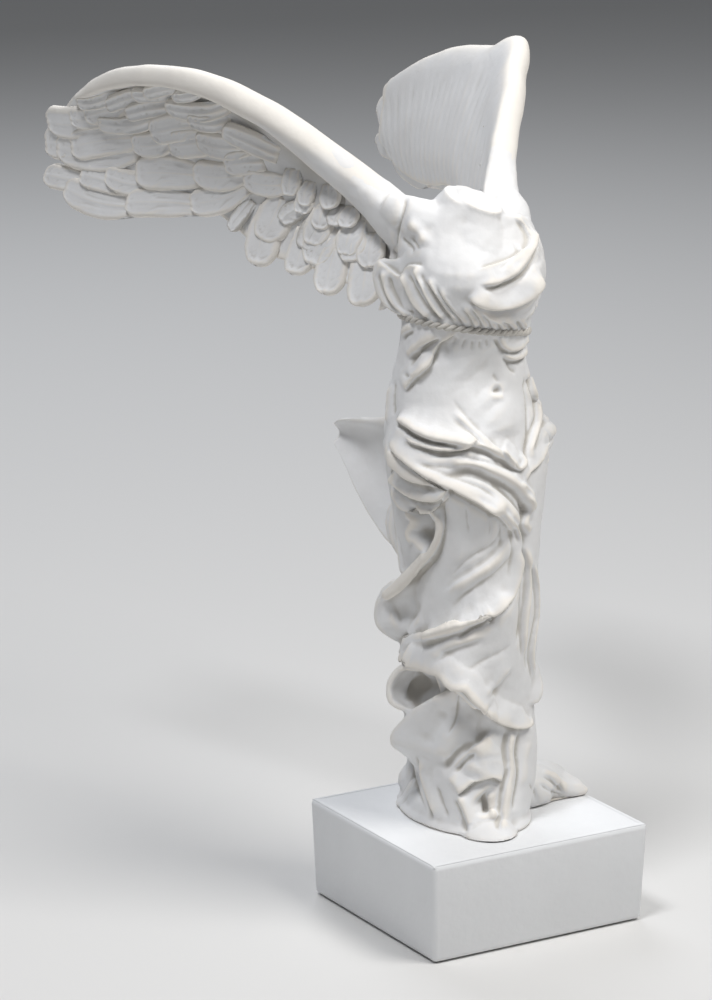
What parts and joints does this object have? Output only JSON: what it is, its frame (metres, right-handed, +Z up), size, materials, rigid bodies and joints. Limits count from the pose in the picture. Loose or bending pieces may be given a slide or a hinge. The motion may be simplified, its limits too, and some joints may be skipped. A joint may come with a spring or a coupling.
{
  "type": "figure trophy",
  "caption": "Cast stone statuette trophy: a headless winged figure in windblown drapery standing on a square plinth, with pinned-on wings and a felt-backed base.",
  "frame": {"origin": "centre of the underside that the plinth rests on", "axes": "+Z up; the figure faces -Y; +X is the figure's own left"},
  "size_m": [0.1507, 0.2219, 0.2906],
  "materials": {
    "cast_stone": "matt cast marble, unglazed, softly worn edges",
    "plinth_stone": "matt cast marble, rubbed flat",
    "steel": "plain zinc-plated",
    "felt": "pressed wool felt"
  },
  "bodies": {
    "root": {"plinth": "plinth_stone", "felt_pad": "felt", "base_stud": "steel", "base_washer": "steel", "base_nut": "steel", "figure_body": "cast_stone", "wing_right": "cast_stone", "wing_left": "cast_stone", "mantle_tail": "cast_stone", "wing_dowel_right_upper": "steel", "wing_dowel_right_lower": "steel", "wing_dowel_left_upper": "steel", "wing_dowel_left_lower": "steel", "tail_dowel": "steel"}
  },
  "joints": []
}
